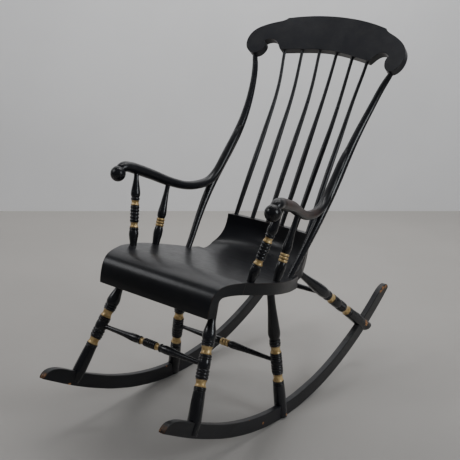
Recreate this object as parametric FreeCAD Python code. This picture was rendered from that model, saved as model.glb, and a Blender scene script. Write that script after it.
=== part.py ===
import FreeCAD, Part
import os
from math import sin, cos, tan, radians, sqrt, pi, atan2

os.makedirs("parts", exist_ok=True)
V = FreeCAD.Vector

# ---------------------------------------------------------------- driving dimensions (mm)
# y runs front (-) to back (+), x to the sitter's left (+), z up. The chair is drawn rocked back,
# and the last step turns it forward by REST_TURN about x, so that it stands on the floor at balance:
# the centre of mass is then above the short straight stretch of the rockers' undersides.
REST_TURN = 6.7            # degrees
SEAT_SLOPE = 20.0          # degrees as drawn, fall of the flat of the seat towards the rear
SEAT_T = 33.0              # thickness of the flat of the seat
SEAT_FRONT_JOINT = -268.0  # y where the front roll meets the board
SEAT_REAR_JOINT = 42.0     # y where the rear roll meets the board
ROCKER_X = 206.0           # rocker centre plane from the middle of the chair
ROCKER_T = 19.0            # rocker thickness
CREST_LEAN = 41.5          # degrees from upright, as drawn
CREST_T = 25.0             # crest thickness
CREST_BOW = 0.60e-3        # plan curve of the crest front face, y = y0 - k x^2
CREST_Y0, CREST_Z0 = 472.0, 978.0
PEG_R = 3.0

# ---------------------------------------------------------------- helpers
def ipl(x, tab):
    if x <= tab[0][0]:
        return tab[0][1]
    for (a, fa), (b, fb) in zip(tab, tab[1:]):
        if x <= b:
            return fa + (fb - fa) * (x - a) / (b - a)
    return tab[-1][1]

def spline(pts, t0=None, t1=None):
    c = Part.BSplineCurve()
    pts = [p if isinstance(p, V) else V(*p) for p in pts]
    if t0 is not None and t1 is not None:
        c.interpolate(Points=pts, InitialTangent=V(*t0), FinalTangent=V(*t1))
    else:
        c.interpolate(Points=pts)
    return c

def seg(a, b):
    return Part.LineSegment(V(*a), V(*b)).toShape()

def turned(a, b, prof):
    """Solid of revolution from a towards b. prof is a chain of
    (s, r), ('bead', s, r, bulge), ('cove', s, r, sink), ('curve', [(s, r), ...], s, r)."""
    a, b = V(*a), V(*b)
    edges = []
    s, r = prof[0]
    first = (s, r)
    for p in prof[1:]:
        if p[0] == 'bead':
            _, s2, r2, h = p
            edges.append(Part.Arc(V(r, 0, s), V((r + r2) / 2 + h, 0, (s + s2) / 2), V(r2, 0, s2)).toShape())
        elif p[0] == 'cove':
            _, s2, r2, h = p
            edges.append(Part.Arc(V(r, 0, s), V((r + r2) / 2 - h, 0, (s + s2) / 2), V(r2, 0, s2)).toShape())
        elif p[0] == 'curve':
            _, mids, s2, r2 = p
            edges.append(spline([V(r, 0, s)] + [V(q[1], 0, q[0]) for q in mids] + [V(r2, 0, s2)]).toShape())
        else:
            s2, r2 = p
            edges.append(Part.LineSegment(V(r, 0, s), V(r2, 0, s2)).toShape())
        s, r = s2, r2
    edges.append(seg((r, 0, s), (0, 0, s)))
    edges.append(seg((0, 0, s), (0, 0, first[0])))
    edges.append(seg((0, 0, first[0]), (first[1], 0, first[0])))
    face = Part.Face(Part.Wire(Part.__sortEdges__(edges)))
    sol = face.revolve(V(0, 0, 0), V(0, 0, 1), 360)
    if sol.Volume < 0:
        sol.reverse()
    d = b.sub(a)
    sol.Placement = FreeCAD.Placement(a, FreeCAD.Rotation(V(0, 0, 1), d))
    return sol

def along(a, b, s):
    a, b = V(*a), V(*b)
    d = b.sub(a); d.normalize()
    return a.add(d.multiply(s))

def rod(pts, radii, n=16, flat=None):
    """Round bar with changing radius through pts (list of xyz); flat = (kx) widens it sideways."""
    c = spline(pts)
    e = c.toShape()
    t0, t1 = c.FirstParameter, c.LastParameter
    wires = []
    for i in range(n + 1):
        t = t0 + (t1 - t0) * i / n
        p, d = c.value(t), c.tangent(t)[0]
        f = i / n * (len(radii) - 1)
        k = min(int(f), len(radii) - 2)
        r = radii[k] + (radii[k + 1] - radii[k]) * (f - k)
        side = V(1, 0, 0).sub(V(d).multiply(d.x)); side.normalize()
        up = d.cross(side)
        rx = r * (flat if flat else 1.0)
        if abs(rx - r) < 1e-6:
            w = Part.Wire([Part.Circle(p, d, r).toShape()])
        else:
            big, small, ax = (rx, r, side) if rx > r else (r, rx, up)
            el = Part.Ellipse(p.add(V(ax).multiply(big)), p.add(d.cross(ax).multiply(small)), p)
            w = Part.Wire([el.toShape()])
        wires.append(w)
    return Part.makeLoft(wires, True, False)

def mirror(s):
    return s.mirror(V(0, 0, 0), V(1, 0, 0))

def fix(s):
    """Return the single largest solid of a cut."""
    sol = s.Solids
    sol.sort(key=lambda q: -q.Volume)
    return sol[0]

parts = {}

# ---------------------------------------------------------------- rockers
BOT = [(-614, 271), (-551, 225), (-508, 195), (-464, 166.5), (-417, 138.5), (-369, 111.5), (-319, 87), (-267, 64.3),
       (-212, 44.3), (-160, 28.4), (-110, 16.6), (-80, 10.95), (-62, 8.84), (-45, 6.84), (-28, 4.84), (-10, 2.73), (40, 0.5), (85, 0), (130, 1.6), (180, 6.5),
       (230, 14.5), (285, 26.8), (340, 42), (400, 62), (460, 87.2), (520, 116.5), (578, 148.5), (606, 166)]
DEPTH = [(-540, 40), (-400, 40), (-200, 42.5), (0, 44.5), (250, 46), (530, 46)]
FLAT = (-80.0, -10.0)      # ends of the straight stretch of the underside, level once the chair is at balance
bot_pts = [V(0, y, z) for y, z in BOT]
bot_c = spline(bot_pts)
flat_dir = (0, cos(radians(REST_TURN)), -sin(radians(REST_TURN)))
flat_a = V(0, FLAT[0], ipl(FLAT[0], BOT))
flat_b = flat_a.add(V(*flat_dir).multiply((FLAT[1] - FLAT[0]) / flat_dir[1]))
bot_front = [p for p in bot_pts if p.y < FLAT[0]] + [flat_a]
bot_rear = [flat_b] + [p for p in bot_pts if p.y > FLAT[1]]
bot_edges = [spline(bot_front, tuple(bot_front[1].sub(bot_front[0])), flat_dir).toShape(),
             Part.LineSegment(flat_a, flat_b).toShape(),
             spline(bot_rear, flat_dir, tuple(bot_rear[-1].sub(bot_rear[-2]))).toShape()]
top_pts = []
for i in range(41):
    y = -532 + (530 + 532) * i / 40.0
    # point of the bottom curve at this y
    u = bot_c.parameter(V(0, y, ipl(y, BOT)))
    p, d = bot_c.value(u), bot_c.tangent(u)[0]
    n = V(0, -d.z, d.y)
    top_pts.append(p.add(n.multiply(ipl(y, DEPTH))))
front_nose = [V(0, -606, 280.5), V(0, -592, 284.5), V(0, -575, 282)]
rear_nose = [V(0, 578, 187), V(0, 597, 182)]
top_line = [V(0, -614, 271)] + front_nose + top_pts + rear_nose + [V(0, 606, 166)]
top_c = spline(top_line)
rocker_face = Part.Face(Part.Wire(Part.__sortEdges__(bot_edges + [top_c.toShape()])))
rocker = rocker_face.extrude(V(ROCKER_T, 0, 0))
rocker.translate(V(ROCKER_X - ROCKER_T / 2, 0, 0))
rocker = rocker.Solids[0] if rocker.Solids else rocker
rocker_plain = rocker.copy()
try:
    es = [e for e in rocker.Edges if e.Length > 400]
    rocker = rocker.makeFillet(2.5, es)
except Exception as ex:
    print("rocker fillet left out:", ex)

# ---------------------------------------------------------------- seat (three glued pieces)
sl = radians(SEAT_SLOPE)
HALF = [(-400, 184), (-383, 186), (-360, 189.5), (-332, 194.5), (-290, 206), (-237, 221), (-205, 228), (-179, 231.5),
        (-150, 232), (-133, 231), (-90, 224.5), (-44, 213), (-3, 199), (40, 184), (90, 166), (130, 154), (153, 147.5), (240, 140)]
TOP = [(-396.5, 474.5), (-395.5, 484), (-391, 501), (-381, 524), (-362, 541), (-335, 545.5), (-309, 542.5), (-282, 537.0),
       (-240, 523.5), (-187, 505.5), (-130, 484.6), (-89, 469.5), (-44, 452.8), (-2, 437.2), (30, 426.5),
       (60, 421.0), (85, 422.0), (106, 428.5), (126, 442.5), (140, 462), (148, 484), (153, 507.5)]

def rear_shift(x, y):
    """the rear part of the section moves back along the seat slope towards the middle"""
    w = ipl(y, [(42, 0), (60, 0.12), (85, 0.45), (106, 0.75), (126, 0.93), (140, 1.0)])
    amp = 34.0 * (1 - (x / 147.0) ** 2)
    return w * amp

def section_pts(x):
    top = []
    for y, z in TOP:
        d = rear_shift(x, y)
        top.append((y + d * cos(sl), z - d * sin(sl)))
    return top

def offset_poly(pts, tfun):
    out = []
    for i, (y, z) in enumerate(pts):
        a = pts[max(i - 1, 0)]; b = pts[min(i + 1, len(pts) - 1)]
        dy, dz = b[0] - a[0], b[1] - a[1]
        L = sqrt(dy * dy + dz * dz)
        t = tfun(i)
        out.append((y + dz / L * t, z - dy / L * t))
    return out

NT = len(TOP)
def thick(i):
    return ipl(i, [(0, 26), (4, 30), (7, 33), (14, 33), (15, 31), (16, 28.5), (18, 24), (NT - 1, 21)])

# flat and front roll: same section all the way across -> straight extrusion
def side_face(x, i0, i1):
    t = section_pts(x)[i0:i1 + 1]
    full = section_pts(x)
    b = offset_poly(full, thick)[i0:i1 + 1]
    ct = spline([V(x, y, z) for y, z in t])
    cb = spline([V(x, y, z) for y, z in b])
    e1 = seg((x,) + t[0], (x,) + b[0]); e2 = seg((x,) + t[-1], (x,) + b[-1])
    return Part.Wire(Part.__sortEdges__([ct.toShape(), e1, cb.toShape(), e2]))


W2 = 260.0
def halfspace(y, z, keep_rear):
    """box on one side of a joint plane square to the seat slope through (y, z)"""
    b = Part.makeBox(2 * W2, 600, 800, V(-W2, 0 if keep_rear else -600, -400))
    b.rotate(V(0, 0, 0), V(1, 0, 0), -SEAT_SLOPE)
    b.translate(V(0, y, z))
    return b

# plan outline of the whole seat
def outline_prism():
    right = [V(h, y, 0) for y, h in HALF]
    left = [V(-h, y, 0) for y, h in reversed(HALF)]
    cr, cl = spline(right), spline(left)
    e1 = Part.LineSegment(right[-1], left[0]).toShape()
    e2 = Part.LineSegment(left[-1], right[0]).toShape()
    f = Part.Face(Part.Wire(Part.__sortEdges__([cr.toShape(), e1, cl.toShape(), e2])))
    f.translate(V(0, 0, 300))
    return f.extrude(V(0, 0, 400))

prism = outline_prism()
slab = Part.Face(side_face(-W2, 0, 15)).extrude(V(2 * W2, 0, 0))
zf = ipl(SEAT_FRONT_JOINT, [(y, z) for y, z in TOP])
zr = ipl(SEAT_REAR_JOINT, [(y, z) for y, z in TOP])
wires = [side_face(x, 12, NT - 1) for x in (-165, -135, -100, -60, -20, 20, 60, 100, 135, 165)]
rear_loft = Part.makeLoft(wires, True, False)
front_roll = slab.common(halfspace(SEAT_FRONT_JOINT, zf, False)).common(prism)
seat_board = slab.common(halfspace(SEAT_FRONT_JOINT, zf, True)).common(halfspace(SEAT_REAR_JOINT, zr, False)).common(prism)
rear_roll = rear_loft.common(halfspace(SEAT_REAR_JOINT, zr, True)).common(prism)
front_roll, seat_board, rear_roll = fix(front_roll), fix(seat_board), fix(rear_roll)

# ---------------------------------------------------------------- turned legs
LEG_F = ((160, -348, 442), (203.5, -484, 225.5))
LEG_M = ((158, -64, 394), (206, -71, 28))
LEG_R = ((135, 115, 398), (207, 420, 112))
PROF_F = [(-103, 10.2), ('curve', [(-60, 10.8)], -8, 11.0), ('curve', [(12, 13.2), (26, 16.6), (38, 17.9)], 50, 15.6),
          ('bead', 56.5, 15.6, 1.8), ('bead', 63.5, 15.2, 1.8), (65.5, 15.8), ('cove', 85.5, 15.8, 2.9),
          (87, 15.0), ('bead', 93, 15.4, 1.7), ('bead', 100, 15.4, 1.7), ('curve', [(112, 17.0)], 124, 15.4),
          ('bead', 132, 15.4, 1.9), ('bead', 140.5, 15.4, 1.9), ('bead', 149, 15.0, 1.9), (150.5, 16.0), ('cove', 168.5, 16.0, 3.0),
          (170, 15.0), ('bead', 175, 15.2, 1.4), ('bead', 180, 14.6, 1.4), (181.5, 15.8), ('curve', [(215, 17.2)], 254, 18.2),
          ('curve', [(275, 16.2)], 296, 12.0)]
PROF_M = [(-55, 10.4), ('curve', [(-20, 10.9)], 10, 11.6), ('curve', [(58, 14.2), (98, 17.4), (116, 18.0)], 133, 14.0),
          ('bead', 142, 15.2, 2.0), ('bead', 151, 15.0, 2.0), (153, 16.2), ('cove', 174, 16.2, 3.0), (176, 15.4),
          ('bead', 183.5, 15.6, 1.8), ('bead', 191, 15.6, 1.8), ('bead', 198.5, 15.8, 1.8), ('curve', [(206, 17.6)], 213.5, 15.8),
          ('bead', 221.5, 15.6, 1.9), ('bead', 230.5, 15.6, 1.9), ('bead', 240, 15.2, 1.9), (242, 16.2), ('cove', 264.5, 16.2, 3.0),
          (266, 15.4), ('bead', 271.5, 15.4, 1.4), ('bead', 277, 15.0, 1.4), (278.5, 16.8), ('curve', [(320, 18.2)], 350, 18.4), (400, 17.0)]
PROF_R = [(-22, 9.8), ('curve', [(-4, 10.2)], 15, 10.8), ('curve', [(80, 13.2), (135, 17.8), (160, 18.2)], 186, 14.6),
          ('bead', 194, 15.2, 1.9), (196.5, 16.2), ('cove', 217, 16.2, 3.0), (219, 15.2), ('bead', 227, 15.4, 1.8),
          ('curve', [(246, 17.4)], 266, 15.4), ('bead', 275, 15.4, 1.9), ('bead', 284.5, 15.4, 1.9), ('bead', 294, 15.2, 1.9), (296, 16.4),
          ('cove', 322, 16.4, 3.0), (324, 15.4), ('bead', 330, 15.4, 1.4), ('bead', 336, 15.0, 1.4), (338, 17.0),
          ('curve', [(370, 18.0)], 410, 18.6), (475, 18.0)]

def rocker_end(y, lift):
    """everything under the rocker's lower edge (raised by lift) near y"""
    u = bot_c.parameter(V(0, y, ipl(y, BOT)))
    p, d = bot_c.value(u), bot_c.tangent(u)[0]
    ang = atan2(d.z, d.y) * 180 / pi
    b = Part.makeBox(120, 240, 120, V(-60, -120, -120 + lift))
    b.rotate(V(0, 0, 0), V(1, 0, 0), ang)
    b.translate(V(ROCKER_X, p.y, p.z))
    return b

def mid_of_rocker(a, b):
    """point of the leg axis half way through the rocker"""
    best = None
    for i in range(0, 700):
        q = along(a, b, i)
        if not -600 < q.y < 600:
            continue
        u = bot_c.parameter(V(0, q.y, ipl(q.y, BOT)))
        p, d = bot_c.value(u), bot_c.tangent(u)[0]
        h = (q.y - p.y) * (-d.z) + (q.z - p.z) * d.y
        e = abs(h - ipl(q.y, DEPTH) * 0.48)
        if best is None or e < best[0]:
            best = (e, q)
    return best[1]

legs, pegs = {}, []
for nm, ax, prof, lift in (("front", LEG_F, PROF_F, 8.0), ("middle", LEG_M, PROF_M, 5.0), ("rear", LEG_R, PROF_R, 1.5)):
    leg = turned(ax[0], ax[1], prof)
    q = mid_of_rocker(*ax)
    leg = leg.cut(rocker_end(q.y, lift))
    c = Part.makeCylinder(PEG_R, 60, V(ROCKER_X - 30, q.y, q.z), V(1, 0, 0))
    pegs.append(c.common(leg))
    legs[nm] = leg

# ---------------------------------------------------------------- stretchers
FS = (176.0, -406.5, 347.0)
MS = (183.0, -67.5, 192.0)
RS = (166.0, 247.0, 274.0)
def stretcher(end, half):
    """turned between the two legs; half runs from the outer end to the middle of the chair"""
    x, y, z = end
    L = 2 * x
    back = []
    for i in range(len(half) - 1, 0, -1):
        p, q = half[i], half[i - 1]
        qs, qr = (q[1], q[2]) if q[0] in ('bead', 'cove') else ((q[2], q[3]) if q[0] == 'curve' else q)
        if p[0] in ('bead', 'cove'):
            back.append((p[0], L - qs, qr, p[3]))
        elif p[0] == 'curve':
            back.append(('curve', [(L - a, r) for a, r in reversed(p[1])], L - qs, qr))
        else:
            back.append((L - qs, qr))
    return turned((-x, y, z), (x, y, z), list(half) + back)

front_str = stretcher(FS, [(0, 5.8), ('curve', [(46, 7.0), (86, 8.8), (112, 11.2), (124, 11.6)], 137, 10.0), ('bead', 143, 10.0, 1.8),
                           ('cove', 155, 10.6, 1.6), (156, 10.0), ('bead', 162.6, 10.2, 1.5), ('bead', 169.3, 10.2, 1.5), ('bead', 176, 10.2, 1.5)])
mid_str = stretcher(MS, [(0, 5.8), ('curve', [(60, 7.2), (110, 9.2), (150, 11.3), (160, 11.2)], 167.5, 9.4), ('bead', 177.8, 9.4, 1.9),
                         ('curve', [(179.2, 10.5), (181, 11.2)], 183, 11.4)])
rear_str = stretcher(RS, [(0, 5.8), ('curve', [(60, 7.6), (120, 8.9)], 166, 9.2)])

# ---------------------------------------------------------------- arm posts
POST_F = ((243, -166.5, 697), (204, -235, 525))
POST_R = ((225, -48, 646), (214, -127, 482))
PROF_PF = [(-31, 5.6), (-24, 5.6), (-24, 7.2), (-14, 7.4), ('curve', [(18, 10.2), (36, 13.1), (45, 13.7)], 55, 10.8), ('bead', 62.5, 11.0, 1.9), (64, 11.8),
           ('cove', 75.5, 12.6, 2.0), (77.5, 12.6), (78.5, 11.2)]
for k in range(5):
    PROF_PF.append(('bead', 78.5 + 9.6 * (k + 1), 11.2, 1.9))
PROF_PF += [(127.5, 11.6), ('cove', 139, 12.8, 2.2), (141.5, 12.8), (143, 12.2), ('bead', 148.5, 12.4, 1.2), ('curve', [(160, 13.8), (174, 12.2)], 189, 10.2), (212, 9.6)]
PROF_PR = [(-16, 6.8), (2, 7.2), ('curve', [(46, 9.4), (76, 12.4), (88, 13.3)], 101, 10.6), ('bead', 109.5, 11.0, 1.8), ('bead', 118, 11.0, 1.8),
           ('bead', 126.5, 11.0, 1.8), ('curve', [(144, 13.6), (164, 12.0)], 183, 10.3), (206, 9.6)]
post_f = turned(POST_F[0], POST_F[1], PROF_PF)
post_r = turned(POST_R[0], POST_R[1], PROF_PR)

# ---------------------------------------------------------------- back posts, spindles
BP = [(182.6, -27, 418), (184, -9, 437), (194.5, 57, 511.7), (201.5, 124, 585), (202.5, 185.5, 646.5), (200.5, 238.5, 698), (200.3, 288, 747),
      (204.5, 331.5, 795), (212, 368, 840), (220.5, 396.5, 880), (230, 419, 916), (243, 437.5, 950), (250.5, 446, 972)]
BPR = [8.6, 9.5, 10.6, 12.0, 13.2, 14.4, 15.0, 14.2, 12.7, 11.3, 10.3, 9.6, 7.2]
back_post = rod(BP, BPR, 24)
SP = {
 3: [(25.5, 187, 478), (25.5, 196, 492), (26, 278, 621), (25.5, 322.7, 689), (25.3, 367.8, 757), (25.5, 412, 825), (27.2, 451, 895), (30, 481.8, 962), (31, 495, 992)],
 2: [(78.5, 179, 480), (78.6, 188.5, 495), (80.3, 254.8, 596), (81.7, 306.5, 672), (84, 359.2, 749), (84.8, 394, 801), (86.2, 436.7, 876), (89.4, 471, 950), (91, 487, 984.5)],
 1: [(131.5, 164, 486), (132, 174, 500), (132.8, 240.5, 600), (133.2, 304.5, 694), (134.3, 357, 771), (136, 407, 849), (140.6, 436.5, 902), (147, 461, 953), (149, 474, 983)],
}
SPR = [6.8, 7.6, 8.3, 8.5, 7.9, 6.7, 5.7, 5.2, 4.9]
spind = {k: rod(v, SPR, 16) for k, v in SP.items()}

# ---------------------------------------------------------------- arms
# the two arms are hand shaped and differ a little in height between the posts
ARM = [(260, -220, 729), (259.5, -212.5, 735), (258, -199.5, 738.5), (254.5, -182, 734.5), (250, -158, 723.5), (244, -125, 706.5), (236.5, -90, 687.5), (227.5, -55, 666.5),
       (221, -20, 647), (215, 14, 630), (210.5, 50, 618.5), (206.5, 85, 613), (203, 119, 614.5), (200.8, 147, 625), (199, 173, 643.5),
       (198.3, 198.5, 667), (197.5, 225, 693), (197, 250.5, 719), (198, 281, 745), (202, 308, 771)]
ARMR = [14.0, 15.2, 15.9, 15.9, 15.6, 15.1, 14.4, 13.7, 13.3, 13.4, 13.6, 13.7, 13.4, 13.2, 12.9, 12.5, 11.9, 11.1, 10.1, 8.6]
ARM_LEFT_DZ = [0, 0, 0, 0.5, 1.5, 3.0, 5.5, 4.5, 2.5, 1.0, 0, -1.0, 0, 0, 0, 0, 0, 0, 0, 0]
ARM_RIGHT_DZ = [0, 0, -0.5, -1.0, -1.5, -2.5, -3.5, -3.5, -2.0, 0, 1.0, 1.5, 0.5, 0, 0, 0, 0, 0, 0, 0]
def make_arm(dz):
    bar = rod([(x, y, z + d) for (x, y, z), d in zip(ARM, dz)], ARMR, 38, 1.08)
    ball = Part.makeSphere(1.0)
    m = FreeCAD.Matrix(); m.scale(21.6, 22.6, 22.6)
    ball = ball.transformGeometry(m)
    ball.translate(V(260, -223, 723.5))
    return fix(bar.fuse(ball))

# ---------------------------------------------------------------- crest rail
cl = radians(CREST_LEAN)
U = V(0, sin(cl), cos(cl))            # up the board
N = V(0, cos(cl), -sin(cl))           # through the board, front to back
O = V(0, CREST_Y0, CREST_Z0)
def crest_pt(x, h, n):
    return O.add(V(x, 0, 0)).add(V(U).multiply(h)).add(V(N).multiply(n))
def bow(x):
    return -CREST_BOW * cos(cl) * x * x
xs = [-300 + 30 * i for i in range(21)]
fr = spline([crest_pt(x, -60, bow(x)) for x in xs])
bk = spline([crest_pt(x, -60, bow(x) + CREST_T * sqrt(1 + (2 * CREST_BOW * cos(cl) * x) ** 2)) for x in xs])
e1 = Part.LineSegment(crest_pt(-300, -60, bow(-300)), bk.value(bk.FirstParameter)).toShape()
e2 = Part.LineSegment(crest_pt(300, -60, bow(300)), bk.value(bk.LastParameter)).toShape()
shell = Part.Face(Part.Wire(Part.__sortEdges__([fr.toShape(), e1, bk.toShape(), e2]))).extrude(V(U).multiply(260))
TOPC = [(176, 119), (140, 126.5), (77, 135.0), (0, 138.5)]
EAR = [(176, 119), (180.5, 113.5), (187, 109.5), (199, 104.5), (218, 98), (240, 88), (260, 75), (273, 58.5), (278.5, 38), (276, 13), (263, -9), (245, -19), (230, -16), (220, -4),
       (216.5, 10), (218, 21), (223, 29)]
CUTO = [(223, 29), (214, 34.5), (203, 37), (192, 35), (181, 28.5), (171, 17), (165, 8), (159, 0.5)]
LOWC = [(159, 0.5), (94, 8.5), (32, 14.8), (0, 16)]
def drop(x, h):
    """the board is bent level, so its ends also sink along the board"""
    return h - CREST_BOW * sin(cl) * x * x
def poly2(pts, sgn=1):
    return [V(sgn * x, drop(x, h), 0) for x, h in pts]
def face_pt(p):
    return crest_pt(p.x, p.y, -90)
eds = []
full_top = poly2(TOPC) + list(reversed(poly2(TOPC[:-1], -1)))
full_low = poly2(LOWC) + list(reversed(poly2(LOWC[:-1], -1)))
for pts in (full_top, poly2(EAR), poly2(CUTO), full_low, poly2(CUTO, -1), poly2(EAR, -1)):
    eds.append(spline([face_pt(p) for p in pts]).toShape())
outline = Part.Face(Part.Wire(Part.__sortEdges__(eds))).extrude(V(N).multiply(220))
crest = fix(shell.common(outline))

# ---------------------------------------------------------------- joints: sockets cut by the piece that fills them
def cutall(s, tools):
    for t in tools:
        s = s.cut(t)
    return fix(s)

R, L = {}, {}
both = lambda s: [s, mirror(s)]
all_legs = [s for l in legs.values() for s in both(l)]
posts = both(post_f) + both(post_r)
bps = both(back_post)
sps = [s for v in spind.values() for s in both(v)]

parts["seat_front_roll"] = cutall(front_roll, both(legs["front"]))
parts["seat_board"] = cutall(seat_board, both(legs["middle"]) + posts + bps)
parts["seat_rear_roll"] = cutall(rear_roll, both(legs["rear"]) + sps)
parts["crest_rail"] = cutall(crest, bps + sps)
parts["stretcher_front"], parts["stretcher_middle"], parts["stretcher_rear"] = front_str, mid_str, rear_str
strs = {"front": front_str, "middle": mid_str, "rear": rear_str}
peg_solids = []
for k, nm in enumerate(("front", "middle", "rear")):
    l = legs[nm].cut(strs[nm]).cut(rocker_plain).cut(pegs[k])
    l = fix(l)
    parts["leg_%s_left" % nm] = l
    parts["leg_%s_right" % nm] = mirror(l)
    peg_solids += both(pegs[k])
rk = cutall(rocker, pegs)
parts["rocker_left"], parts["rocker_right"] = rk, mirror(rk)
parts["rocker_pegs"] = Part.makeCompound([fix(p) for p in peg_solids])
parts["arm_left"] = cutall(make_arm(ARM_LEFT_DZ), [back_post, post_f, post_r])
parts["arm_right"] = mirror(cutall(make_arm(ARM_RIGHT_DZ), [back_post, post_f, post_r]))
for nm, p in (("front", post_f), ("rear", post_r)):
    parts["arm_post_%s_left" % nm], parts["arm_post_%s_right" % nm] = p, mirror(p)
parts["back_post_left"], parts["back_post_right"] = back_post, mirror(back_post)
for k, (a, b) in {3: (3, 4), 2: (2, 5), 1: (1, 6)}.items():
    parts["spindle_%d" % a], parts["spindle_%d" % b] = mirror(spind[k]), spind[k]

# ---------------------------------------------------------------- turn to the rest pose, centre, write
for s in parts.values():
    s.rotate(V(0, 0, 0), V(1, 0, 0), REST_TURN)
bb = FreeCAD.BoundBox()
for s in parts.values():
    bb.add(s.optimalBoundingBox(False, False))
shift = V(0, -(bb.YMin + bb.YMax) / 2, -bb.ZMin)
print("box", [round(v, 2) for v in (bb.XMin, bb.XMax, bb.YMin, bb.YMax, bb.ZMin, bb.ZMax)], "shift", shift)
vol, mom = 0.0, V(0, 0, 0)
for name, s in parts.items():
    s = s.copy()
    s.translate(shift)
    cnt = len(s.Solids)
    v = sum(q.Volume for q in s.Solids)
    c = V(0, 0, 0)
    for q in s.Solids:
        c = c.add(V(q.CenterOfMass).multiply(q.Volume))
    vol += v; mom = mom.add(c)
    print("%-24s solids %d vol %8.0f valid %s" % (name, cnt, v, s.isValid()))
    s.exportStep("parts/%s.step" % name)
print("centre of mass", mom.multiply(1 / vol), "volume litres", vol / 1e6)
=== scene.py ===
import bpy, math
from mathutils import Vector, Matrix

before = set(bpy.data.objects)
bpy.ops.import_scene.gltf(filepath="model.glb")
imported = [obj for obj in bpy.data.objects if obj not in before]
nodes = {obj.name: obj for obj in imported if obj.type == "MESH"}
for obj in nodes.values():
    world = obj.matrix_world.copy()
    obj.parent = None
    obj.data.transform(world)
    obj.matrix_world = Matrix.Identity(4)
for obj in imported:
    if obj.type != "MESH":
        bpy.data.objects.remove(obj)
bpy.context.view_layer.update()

# ------------------------------------------------------------------ the drawing frame of the CAD, in the row frame
TURN = math.radians(6.7)
SHIFT = (0.0, 29.4652, -1.5416)


def T(p, side=1):
    """drawing point in mm -> row frame in metres; side -1 mirrors it"""
    x, y, z = p
    c, s = math.cos(TURN), math.sin(TURN)
    return Vector((side * x, y * c - z * s + SHIFT[1], y * s + z * c + SHIFT[2])) / 1000.0


# ------------------------------------------------------------------ node helpers
class Tree:
    def __init__(self, name):
        self.mat = bpy.data.materials.new(name)
        self.mat.use_nodes = True
        self.t = self.mat.node_tree
        self.t.nodes.clear()
        self.out = self.add("ShaderNodeOutputMaterial")
        self.bsdf = self.add("ShaderNodeBsdfPrincipled")
        self.link(self.bsdf.outputs[0], self.out.inputs[0])
        self.P = self.add("ShaderNodeTexCoord").outputs["Object"]
        self.geo = self.add("ShaderNodeNewGeometry")

    def add(self, kind):
        return self.t.nodes.new(kind)

    def link(self, a, b):
        self.t.links.new(a, b)

    def put(self, sock, v):
        if isinstance(v, bpy.types.NodeSocket):
            self.link(v, sock)
        elif v is not None:
            if sock.type == "RGBA" and len(v) == 3:
                v = (*v, 1.0)
            sock.default_value = v

    def m(self, op, a, b=None, c=None, clamp=False):
        n = self.add("ShaderNodeMath")
        n.operation = op
        n.use_clamp = clamp
        for k, v in enumerate((a, b, c)):
            self.put(n.inputs[k], v)
        return n.outputs[0]

    def vm(self, op, a, b=None, scale=None):
        n = self.add("ShaderNodeVectorMath")
        n.operation = op
        self.put(n.inputs[0], a)
        if b is not None:
            self.put(n.inputs[1], b)
        if scale is not None:
            self.put(n.inputs["Scale"], scale)
        return n.outputs["Value"] if op in ("DOT_PRODUCT", "LENGTH", "DISTANCE") else n.outputs["Vector"]

    def step(self, v, lo, hi, a=0.0, b=1.0):
        n = self.add("ShaderNodeMapRange")
        n.interpolation_type = "SMOOTHSTEP"
        for k, x in enumerate((v, lo, hi, a, b)):
            self.put(n.inputs[k], x)
        return n.outputs[0]

    def lin(self, v, lo, hi, a=0.0, b=1.0):
        n = self.add("ShaderNodeMapRange")
        for k, x in enumerate((v, lo, hi, a, b)):
            self.put(n.inputs[k], x)
        return n.outputs[0]

    def mix(self, f, a, b):
        n = self.add("ShaderNodeMix")
        n.data_type = "RGBA"
        self.put(n.inputs[0], f)
        self.put(n.inputs[6], a)
        self.put(n.inputs[7], b)
        return n.outputs[2]

    def mixf(self, f, a, b):
        n = self.add("ShaderNodeMix")
        n.data_type = "FLOAT"
        self.put(n.inputs[0], f)
        self.put(n.inputs[2], a)
        self.put(n.inputs[3], b)
        return n.outputs[0]

    def noise(self, vec, scale, detail=4.0, rough=0.55, dist=0.0):
        n = self.add("ShaderNodeTexNoise")
        self.put(n.inputs["Vector"], vec)
        n.inputs["Scale"].default_value = scale
        n.inputs["Detail"].default_value = detail
        n.inputs["Roughness"].default_value = rough
        n.inputs["Distortion"].default_value = dist
        return n.outputs[0]

    def voronoi(self, vec, scale, feature="F1"):
        n = self.add("ShaderNodeTexVoronoi")
        n.feature = feature
        self.put(n.inputs["Vector"], vec)
        n.inputs["Scale"].default_value = scale
        return n

    def stretch(self, d, keep):
        """object coordinates squeezed along d, so that a noise on them runs in long streaks along d"""
        s = self.vm("DOT_PRODUCT", self.P, tuple(d))
        return self.vm("ADD", self.P, self.vm("SCALE", tuple(d), scale=self.m("MULTIPLY", s, keep - 1.0)))

    def sep(self, v):
        n = self.add("ShaderNodeSeparateXYZ")
        self.put(n.inputs[0], v)
        return n.outputs

    def bump(self, height, strength, distance, normal=None):
        n = self.add("ShaderNodeBump")
        n.inputs["Strength"].default_value = strength
        n.inputs["Distance"].default_value = distance
        self.put(n.inputs["Height"], height)
        if normal is not None:
            self.link(normal, n.inputs["Normal"])
        return n.outputs[0]


BLACK_A = (0.0045, 0.0048, 0.0063)
BLACK_B = (0.0095, 0.0102, 0.0136)
RUBBED = (0.021, 0.018, 0.017)
BROWN = (0.095, 0.040, 0.017)
BARE = (0.46, 0.22, 0.085)
BARE_DARK = (0.20, 0.085, 0.032)
# light grey for up-facing surfaces: partly dust, partly painted sheen
DUST_AND_SHEEN = (0.14, 0.135, 0.125)
GOLD_A = (0.80, 0.59, 0.28)
GOLD_B = (0.46, 0.30, 0.11)


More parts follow.
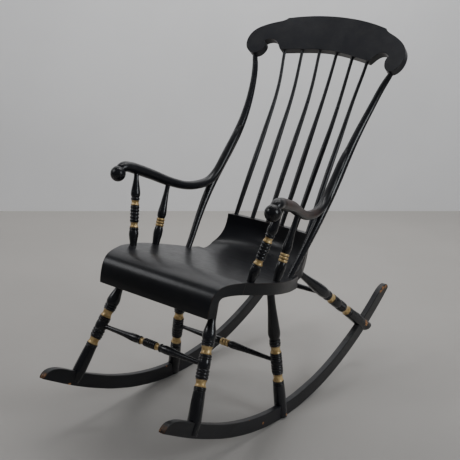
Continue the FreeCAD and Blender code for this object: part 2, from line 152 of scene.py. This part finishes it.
def paint(name, grain, rough=0.30, coat=0.35, wear=0.35, dust_sheen_amt=0.2, bevel=0.0015, grain_amt=0.4, turned=None, gold=(),
          gold_beads=False, chips=(), bare=None, brown=None, swirl=None, ball=None, streak_scale=260.0, sheen_lift=1.0):
    k = Tree(name)
    P = k.P
    g = Vector(grain).normalized()
    n_big = k.noise(P, 5.5, 3.0)
    n_mid = k.noise(P, 52.0, 5.0, 0.6)
    n_fine = k.noise(P, 420.0, 3.0, 0.6)
    streak = k.noise(k.stretch(g, 0.055), streak_scale, 4.0, 0.62, 0.4)
    streak2 = k.noise(k.stretch(g, 0.10), streak_scale * 0.3, 3.0, 0.5, 0.8)
    bev = k.add("ShaderNodeBevel")
    bev.samples = 6
    bev.inputs["Radius"].default_value = bevel
    edge = k.m("SUBTRACT", 1.0, k.vm("DOT_PRODUCT", bev.outputs[0], k.geo.outputs["Normal"]))
    edge = k.step(edge, 0.015, 0.16)
    nz = k.sep(k.geo.outputs["Normal"])[2]

    # paint colour: two blacks, thin rubbed film along the grain, and a light grey on what faces up that is partly
    # dust and partly painted sheen
    col = k.mix(k.step(n_big, 0.32, 0.68), BLACK_A, BLACK_B)
    # painted sheen: the part's whole black is lifted toward a light bluish grey (used on the crest rail)
    if sheen_lift != 1.0:
        col = k.mix(min(1.0, max(0.0, sheen_lift - 1.0)), col, (0.0165, 0.0176, 0.0235))
    rub = k.m("MULTIPLY", k.step(streak, 0.46, 0.70), k.step(n_mid, 0.40, 0.68))
    col = k.mix(k.m("MULTIPLY", rub, 0.42 * grain_amt + 0.10), col, RUBBED)
    # partly dust, partly painted sheen: surfaces that face up turn light grey, most of all on the rocker tops
    up = k.step(nz, 0.25, 0.95)
    dust_sheen_mask = k.m("MULTIPLY", k.m("MULTIPLY", up, k.step(k.noise(P, 26.0, 5.0, 0.65), 0.40, 0.72)), dust_sheen_amt)
    col = k.mix(dust_sheen_mask, col, DUST_AND_SHEEN)
    vor = k.voronoi(P, 210.0)
    speck = k.m("MULTIPLY", k.step(vor.outputs["Distance"], 0.12, 0.05), k.m("GREATER_THAN", k.sep(vor.outputs["Color"])[0], 0.90))
    col = k.mix(k.m("MULTIPLY", speck, 0.30), col, (0.22, 0.20, 0.17))

    # edges: the paint is rubbed thin to dark brown wood
    worn = k.m("MULTIPLY", k.m("MULTIPLY", edge, k.step(n_mid, 0.44, 0.60)), wear)
    col = k.mix(worn, col, BROWN)
    hi = k.m("MULTIPLY", k.m("MULTIPLY", worn, k.step(n_fine, 0.45, 0.62)), 0.6)
    col = k.mix(hi, col, BARE)

    r = k.m("ADD", rough, k.m("MULTIPLY", k.m("SUBTRACT", n_mid, 0.5), 0.16))
    r = k.m("ADD", r, k.m("MULTIPLY", k.m("SUBTRACT", streak, 0.5), 0.14 * grain_amt))
    r = k.m("ADD", r, k.m("MULTIPLY", dust_sheen_mask, 0.5))
    r = k.m("ADD", r, k.m("MULTIPLY", worn, 0.25))
    metal = 0.0

    # relief: brush marks and grain that show through, fine pimples, slow waves of old paint
    h = k.m("MULTIPLY", streak, 0.55 * grain_amt)
    h = k.m("ADD", h, k.m("MULTIPLY", streak2, 0.5 * grain_amt))
    h = k.m("ADD", h, k.m("MULTIPLY", n_fine, 0.16))
    h = k.m("ADD", h, k.m("MULTIPLY", n_mid, 0.40))
    h = k.m("SUBTRACT", h, k.m("MULTIPLY", worn, 0.8))

    s = None
    if turned:
        A, B = turned
        d = (B - A).normalized()
        s = k.vm("DOT_PRODUCT", k.vm("SUBTRACT", P, tuple(A)), tuple(d))   # metres along the turning
        lathe = k.add("ShaderNodeTexNoise")
        lathe.noise_dimensions = "1D"
        lathe.inputs["Scale"].default_value = 950.0
        lathe.inputs["Detail"].default_value = 2.0
        k.link(s, lathe.inputs["W"])
        h = k.m("ADD", h, k.m("MULTIPLY", lathe.outputs[0], 0.45))
    gm = None
    if gold:
        sj = k.m("ADD", s, k.m("MULTIPLY", k.m("SUBTRACT", k.noise(P, 130.0, 3.0), 0.5), 0.0016))
        gold_end_dark = None
        for a, b in gold:
            a, b = a / 1000.0, b / 1000.0
            one = k.m("MULTIPLY", k.step(sj, a - 0.0003, a + 0.0005), k.step(sj, b - 0.0005, b + 0.0003, 1.0, 0.0))
            u = k.m("ABSOLUTE", k.lin(sj, a, b, -1.0, 1.0))
            # darker towards both ends of each gold band
            band_end_dark = k.m("MULTIPLY", k.m("POWER", u, 4.0), one)
            gm = one if gm is None else k.m("MAXIMUM", gm, one)
            gold_end_dark = band_end_dark if gold_end_dark is None else k.m("MAXIMUM", gold_end_dark, band_end_dark)
        flake = k.step(k.noise(P, 190.0, 4.0, 0.65), 0.66, 0.72)
        gcol = k.mix(k.step(k.noise(P, 85.0, 4.0), 0.35, 0.65), GOLD_A, GOLD_B)
        # the gold turns dark brown towards both ends of each band
        gcol = k.mix(k.m("MULTIPLY", gold_end_dark, 0.55), gcol, (0.16, 0.075, 0.018))
        gcol = k.mix(k.m("MULTIPLY", k.step(n_mid, 0.58, 0.72), 0.35), gcol, (0.20, 0.10, 0.03))
        gmask = k.m("MULTIPLY", gm, k.m("SUBTRACT", 1.0, k.m("MULTIPLY", flake, 0.75)))
        col = k.mix(gmask, col, gcol)
        metal = k.m("MULTIPLY", gmask, 0.5)
        r = k.mixf(gmask, r, k.m("ADD", 0.30, k.m("MULTIPLY", n_mid, 0.18)))
        h = k.m("ADD", h, k.m("MULTIPLY", gmask, 0.5))

    if swirl:
        C, fade = swirl
        q = k.vm("MULTIPLY", k.vm("SUBTRACT", P, tuple(C)), (1.0, 0.6, 1.35))
        rr = k.vm("LENGTH", q)
        rr2 = k.m("ADD", rr, k.m("MULTIPLY", k.noise(P, 24.0, 3.0), 0.022))
        ring = k.m("ADD", k.m("MULTIPLY", k.m("SINE", k.m("MULTIPLY", rr2, 2 * math.pi / 0.0052)), 0.5), 0.5)
        near = k.step(rr, fade * 0.35, fade, 1.0, 0.0)
        ring = k.m("MULTIPLY", ring, near)
        h = k.m("ADD", h, k.m("MULTIPLY", ring, 0.55))
        # the grain rings are real relief and roughness; their lighter bluish grey colour is a painted sheen
        col = k.mix(k.m("MULTIPLY", ring, 0.30), col, (0.040, 0.041, 0.049))
        r = k.m("ADD", r, k.m("MULTIPLY", ring, 0.07))

    if brown:
        # hand wear on the arm: thin red-brown paint on its top and outer side between two y values
        y0, y1, sgn = brown
        x, y, z = k.sep(P)[0], k.sep(P)[1], k.sep(P)[2]
        nx = k.sep(k.geo.outputs["Normal"])[0]
        zone = k.m("MULTIPLY", k.step(y, y0, y0 + 0.05), k.step(y, y1 - 0.06, y1, 1.0, 0.0))
        facing = k.step(k.m("ADD", k.m("MULTIPLY", nx, sgn * 0.75), k.m("MULTIPLY", nz, 0.55)), 0.05, 0.75)
        patch = k.step(k.m("ADD", k.noise(k.stretch(g, 0.25), 60.0, 5.0, 0.65), k.m("MULTIPLY", facing, 0.25)), 0.50, 0.70)
        bm = k.m("MULTIPLY", k.m("MULTIPLY", zone, facing), patch)
        bcol = k.mix(k.step(n_mid, 0.35, 0.65), (0.042, 0.013, 0.006), (0.016, 0.007, 0.005))
        col = k.mix(k.m("MULTIPLY", bm, 0.92), col, bcol)
        r = k.mixf(bm, r, 0.34)
        h = k.m("SUBTRACT", h, k.m("MULTIPLY", bm, 0.5))

    if ball:
        # glossy knob with a crazed skin and small dents
        C, rad = ball
        near = k.step(k.vm("DISTANCE", P, tuple(C)), rad * 1.02, rad * 1.35, 1.0, 0.0)
        cr = k.voronoi(k.vm("ADD", P, k.vm("SCALE", k.vm("SUBTRACT", P, tuple(C)), scale=k.m("MULTIPLY", n_mid, 0.12))), 150.0, "DISTANCE_TO_EDGE")
        crack = k.m("MULTIPLY", k.step(cr.outputs["Distance"], 0.0, 0.07, 1.0, 0.0), near)
        crack = k.m("MULTIPLY", crack, k.step(k.noise(P, 40.0, 2.0), 0.42, 0.62))
        dent = k.m("MULTIPLY", k.step(k.noise(P, 95.0, 2.0), 0.62, 0.74), near)
        h = k.m("SUBTRACT", h, k.m("MULTIPLY", crack, 0.8))
        h = k.m("SUBTRACT", h, k.m("MULTIPLY", dent, 1.6))
        r = k.mixf(k.m("MULTIPLY", near, 0.8), r, k.m("ADD", 0.20, k.m("MULTIPLY", crack, 0.3)))
        col = k.mix(k.m("MULTIPLY", crack, 0.35), col, (0.05, 0.045, 0.04))

    spots = None
    for c, rad, sc in chips:
        q = k.vm("MULTIPLY", k.vm("SUBTRACT", P, tuple(c)), sc)
        dd = k.m("ADD", k.vm("LENGTH", q), k.m("MULTIPLY", k.m("SUBTRACT", k.noise(P, 230.0, 3.0), 0.5), rad * 1.1))
        one = k.step(dd, rad * 0.72, rad * 0.98, 1.0, 0.0)
        spots = one if spots is None else k.m("MAXIMUM", spots, one)
    if bare:
        # a whole end of the part rubbed to the wood: (axis index, value where it starts, value where it is full, edges only)
        for idx, lo, hi_, only_edge in bare:
            v = k.sep(P)[idx]
            zone = k.step(k.m("ADD", v, k.m("MULTIPLY", k.m("SUBTRACT", k.noise(P, 110.0, 4.0), 0.5), 0.02)), lo, hi_)
            if only_edge:
                zone = k.m("MULTIPLY", zone, k.m("MAXIMUM", k.m("MULTIPLY", edge, k.step(n_mid, 0.36, 0.5)), k.m("MULTIPLY", k.step(nz, 0.1, 0.5), k.step(n_mid, 0.36, 0.52))))
            spots = zone if spots is None else k.m("MAXIMUM", spots, zone)
    if spots is not None:
        wood = k.mix(k.step(streak, 0.38, 0.64), BARE, BARE_DARK)
        rim = k.m("MULTIPLY", k.m("MULTIPLY", spots, k.m("SUBTRACT", 1.0, spots)), 3.2)
        wood = k.mix(k.m("MINIMUM", rim, 1.0), wood, (0.07, 0.030, 0.012))
        col = k.mix(spots, col, wood)
        r = k.mixf(spots, r, 0.62)
        h = k.m("SUBTRACT", h, k.m("MULTIPLY", spots, 1.4))
        if not isinstance(metal, float):
            metal = k.m("MULTIPLY", metal, k.m("SUBTRACT", 1.0, spots))

    k.put(k.bsdf.inputs["Base Color"], col)
    k.put(k.bsdf.inputs["Roughness"], k.m("MINIMUM", k.m("MAXIMUM", r, 0.08), 0.95))
    k.put(k.bsdf.inputs["Metallic"], metal)
    k.bsdf.inputs["IOR"].default_value = 1.38
    k.bsdf.inputs["Coat Weight"].default_value = coat
    k.bsdf.inputs["Coat Roughness"].default_value = 0.16
    k.bsdf.inputs["Coat IOR"].default_value = 1.42
    k.put(k.bsdf.inputs["Normal"], k.bump(h, 0.5, 0.00028, bev.outputs[0]))
    return k.mat


def give(node, mat):
    for sl in nodes[node].material_slots:
        sl.material = mat


# ------------------------------------------------------------------ seat and crest
SWIRL_C = (-0.109, 0.132, 0.481)
seat = paint("paint_seat", (1, 0, 0), rough=0.33, coat=0.10, wear=0.38, dust_sheen_amt=0.03, bevel=0.0028, grain_amt=0.6,
             swirl=(SWIRL_C, 0.10), streak_scale=230.0)
for n in ("seat_front_roll", "seat_board", "seat_rear_roll"):
    give(n, seat)
# the crest's black carries a painted bluish sheen through its lift value
give("crest_rail", paint("paint_crest", (1, 0, 0), rough=0.36, coat=0.25, wear=0.12, dust_sheen_amt=0.10, bevel=0.0022, grain_amt=0.8,
                         streak_scale=300.0, sheen_lift=1.35))

# ------------------------------------------------------------------ turned legs, posts, stretchers
LEGS = {
    "front": ((160, -348, 442), (203.5, -484, 225.5), [(65.5, 86.5), (150.5, 169.5)]),
    "middle": ((158, -64, 394), (206, -71, 28), [(153, 175), (242, 265.5)]),
    "rear": ((135, 115, 398), (207, 420, 112), [(196.5, 218), (296, 323)]),
}
leg_chips = {
    ("middle", 1): [((0.2242, -0.0405, 0.0127), 0.0045, (1, 1, 1))],
    ("rear", 1): [((0.2259, 0.4440, 0.1560), 0.0095, (1, 1, 0.7)), ((0.2150, 0.4560, 0.1640), 0.0060, (1, 1, 1))],
    ("front", -1): [((-0.2070, -0.4587, 0.1414), 0.0050, (1, 1, 0.5))],
    ("front", 1): [((0.2210, -0.4700, 0.1500), 0.0020, (1, 1, 1))],
}
for nm, (a, b, rng) in LEGS.items():
    for side, tag in ((1, "left"), (-1, "right")):
        A, B = T(a, side), T(b, side)
        give(f"leg_{nm}_{tag}", paint(f"paint_leg_{nm}_{tag}", B - A, rough=0.24, coat=0.5, wear=0.22, dust_sheen_amt=0.10, bevel=0.0008,
                                      grain_amt=0.45, turned=(A, B), gold=rng, chips=leg_chips.get((nm, side), ())))
POSTS = {
    "front": ((243, -166.5, 697), (204, -235, 525), [(64, 78), (127.5, 142)]),
    "rear": ((225, -48, 646), (214, -127, 482), [(101.6, 109.0), (110.1, 117.5), (118.6, 126.0)]),
}
for nm, (a, b, rng) in POSTS.items():
    for side, tag in ((1, "left"), (-1, "right")):
        A, B = T(a, side), T(b, side)
        give(f"arm_post_{nm}_{tag}", paint(f"paint_arm_post_{nm}_{tag}", B - A, rough=0.24, coat=0.5, wear=0.18, dust_sheen_amt=0.08,
                                           bevel=0.0006, grain_amt=0.4, turned=(A, B), gold=rng))
STR = {
    "front": ((176, -406.5, 347), [(143.5, 155.5), (196.5, 208.5)]),
    "middle": ((183, -67.5, 192), [(167.8, 177.2), (178.4, 187.6), (188.8, 198.2)]),
    "rear": ((166, 247, 274), []),
}
for nm, (e, rng) in STR.items():
    A, B = T(e, -1), T(e, 1)
    give(f"stretcher_{nm}", paint(f"paint_stretcher_{nm}", B - A, rough=0.26, coat=0.45, wear=0.25, dust_sheen_amt=0.15, bevel=0.0006,
                                  grain_amt=0.5, turned=(A, B), gold=rng))

# ------------------------------------------------------------------ rockers
rk_chips_left = [((0.2155, -0.1572, 0.0304), 0.0050, (1, 1, 1)), ((0.2150, -0.2312, 0.0710), 0.0022, (1, 1, 1)),
                 ((0.2150, 0.5698, 0.2434), 0.0070, (1, 0.6, 1)), ((0.2150, 0.5560, 0.2361), 0.0060, (1, 0.5, 1)),
                 ((0.2150, 0.5900, 0.2440), 0.0075, (1, 0.7, 1))]
rk_chips_right = [((-0.1965, -0.5178, 0.1462), 0.0045, (1, 0.7, 1)), ((-0.1968, -0.0915, 0.0452), 0.0040, (1, 1, 1)),
                  ((-0.2150, 0.5800, 0.2434), 0.0065, (1, 0.6, 1))]
for tag, chips in (("left", rk_chips_left), ("right", rk_chips_right)):
    give(f"rocker_{tag}", paint(f"paint_rocker_{tag}", (0, 1, 0), rough=0.42, coat=0.15, wear=0.55, dust_sheen_amt=0.28, bevel=0.0016,
                                grain_amt=0.8, chips=chips, bare=[(1, -0.596, -0.610, True)]))
give("rocker_pegs", paint("paint_pegs", (1, 0, 0), rough=0.45, coat=0.1, wear=0.8, dust_sheen_amt=0.1, bevel=0.0006, grain_amt=0.6))

# ------------------------------------------------------------------ arms
for side, tag in ((1, "left"), (-1, "right")):
    C = T((260, -223, 723.5), side)
    give(f"arm_{tag}", paint(f"paint_arm_{tag}", (0.10 * -side, 1, -0.35), rough=0.33, coat=0.22, wear=0.2, dust_sheen_amt=0.05, bevel=0.0010,
                             grain_amt=0.5, brown=(-0.255, 0.075, float(side)) if side == 1 else None, ball=(C, 0.0226)))

# ------------------------------------------------------------------ back posts and spindles
for tag in ("left", "right"):
    give(f"back_post_{tag}", paint(f"paint_back_post_{tag}", (0, 0.40, 1), rough=0.27, coat=0.4, wear=0.2, dust_sheen_amt=0.10,
                                   bevel=0.0008, grain_amt=0.6))
sp = paint("paint_spindles", (0, 0.42, 1), rough=0.30, coat=0.35, wear=0.2, dust_sheen_amt=0.08, bevel=0.0006, grain_amt=0.6)
for i in range(1, 7):
    give(f"spindle_{i}", sp)


# ------------------------------------------------------------------ stage
def stage_mat(name, colour, rough, one_sided=False):
    k = Tree(name)
    big = k.noise(k.P, 1.1, 4.0)
    fine = k.noise(k.P, 60.0, 4.0, 0.6)
    c2 = tuple(v * 0.93 for v in colour)
    col = k.mix(k.step(big, 0.3, 0.7), colour, c2)
    k.put(k.bsdf.inputs["Base Color"], col)
    k.put(k.bsdf.inputs["Roughness"], k.m("ADD", rough, k.m("MULTIPLY", k.m("SUBTRACT", fine, 0.5), 0.1)))
    k.put(k.bsdf.inputs["Normal"], k.bump(fine, 0.08, 0.001))
    if one_sided:
        tr = k.add("ShaderNodeBsdfTransparent")
        mx = k.add("ShaderNodeMixShader")
        k.link(k.geo.outputs["Backfacing"], mx.inputs[0])
        k.link(k.bsdf.outputs[0], mx.inputs[1])
        k.link(tr.outputs[0], mx.inputs[2])
        k.link(mx.outputs[0], k.out.inputs[0])
    return k.mat


def quad(name, pts, mat):
    me = bpy.data.meshes.new(name)
    me.from_pydata([tuple(p) for p in pts], [], [(0, 1, 2, 3)])
    me.materials.append(mat)
    o = bpy.data.objects.new(name, me)
    bpy.context.scene.collection.objects.link(o)
    return o


quad("floor", [(-9, -9, 0), (9, -9, 0), (9, 9, 0), (-9, 9, 0)], stage_mat("floor_pale", (0.44, 0.42, 0.395), 0.75))
w1, w2 = Vector((-1.978, 0.745, 0)), Vector((-0.277, 2.681, 0))
wd = (w2 - w1).normalized()
a, b = w1 - wd * 4.0, w2 + wd * 5.0
top = Vector((0, 0, 4.0))
quad("backdrop", [a, b, b + top, a + top], stage_mat("backdrop_pale", (0.86, 0.86, 0.865), 0.8, True))


def area(name, loc, target, sx, sy, energy, colour=(1, 1, 1)):
    d = bpy.data.lights.new(name, "AREA")
    d.shape = "RECTANGLE"
    d.size, d.size_y = sx, sy
    d.energy = energy
    d.color = colour
    o = bpy.data.objects.new(name, d)
    o.location = loc
    o.rotation_euler = (Vector(target) - Vector(loc)).to_track_quat("-Z", "Y").to_euler()
    bpy.context.scene.collection.objects.link(o)
    return o


area("light_top", (0.4, 1.5, 3.2), (0.0, 0.2, 0.4), 2.6, 1.8, 16)
area("light_right", (2.9, 0.1, 1.9), (0.0, 0.0, 0.6), 1.0, 1.4, 30, (0.93, 0.97, 1.0))
area("light_left", (-2.1, -1.9, 2.5), (0.0, 0.1, 0.6), 1.1, 1.1, 19, (0.97, 0.98, 1.0))
area("light_wall", (0.0, 0.6, 3.5), (-1.5, 2.1, 2.5), 2.4, 0.8, 85)

world = bpy.data.worlds.new("studio")
bpy.context.scene.world = world
world.use_nodes = True
bg = world.node_tree.nodes.get("Background") or world.node_tree.nodes.new("ShaderNodeBackground")
bg.inputs[0].default_value = (0.92, 0.94, 1.0, 1.0)
bg.inputs[1].default_value = 0.145

# ------------------------------------------------------------------ camera, as in the photograph
cam = bpy.data.cameras.new("camera")
cam.sensor_width = 36.0
cam.lens = 66.99
cam.clip_start, cam.clip_end = 0.05, 60.0
co = bpy.data.objects.new("camera", cam)
R = ((0.8129682632935173, -0.22504118053434166, 0.5370652380681811),
     (0.5783560171969445, 0.20477987736932074, -0.7896641812800512),
     (0.06772680599001998, 0.9525868301043826, 0.29663346214153646))
M = Matrix(R).to_4x4()
M.translation = Vector((1.33, -2.0338484793, 1.2774648914))
co.matrix_world = M
bpy.context.scene.collection.objects.link(co)
bpy.context.scene.camera = co
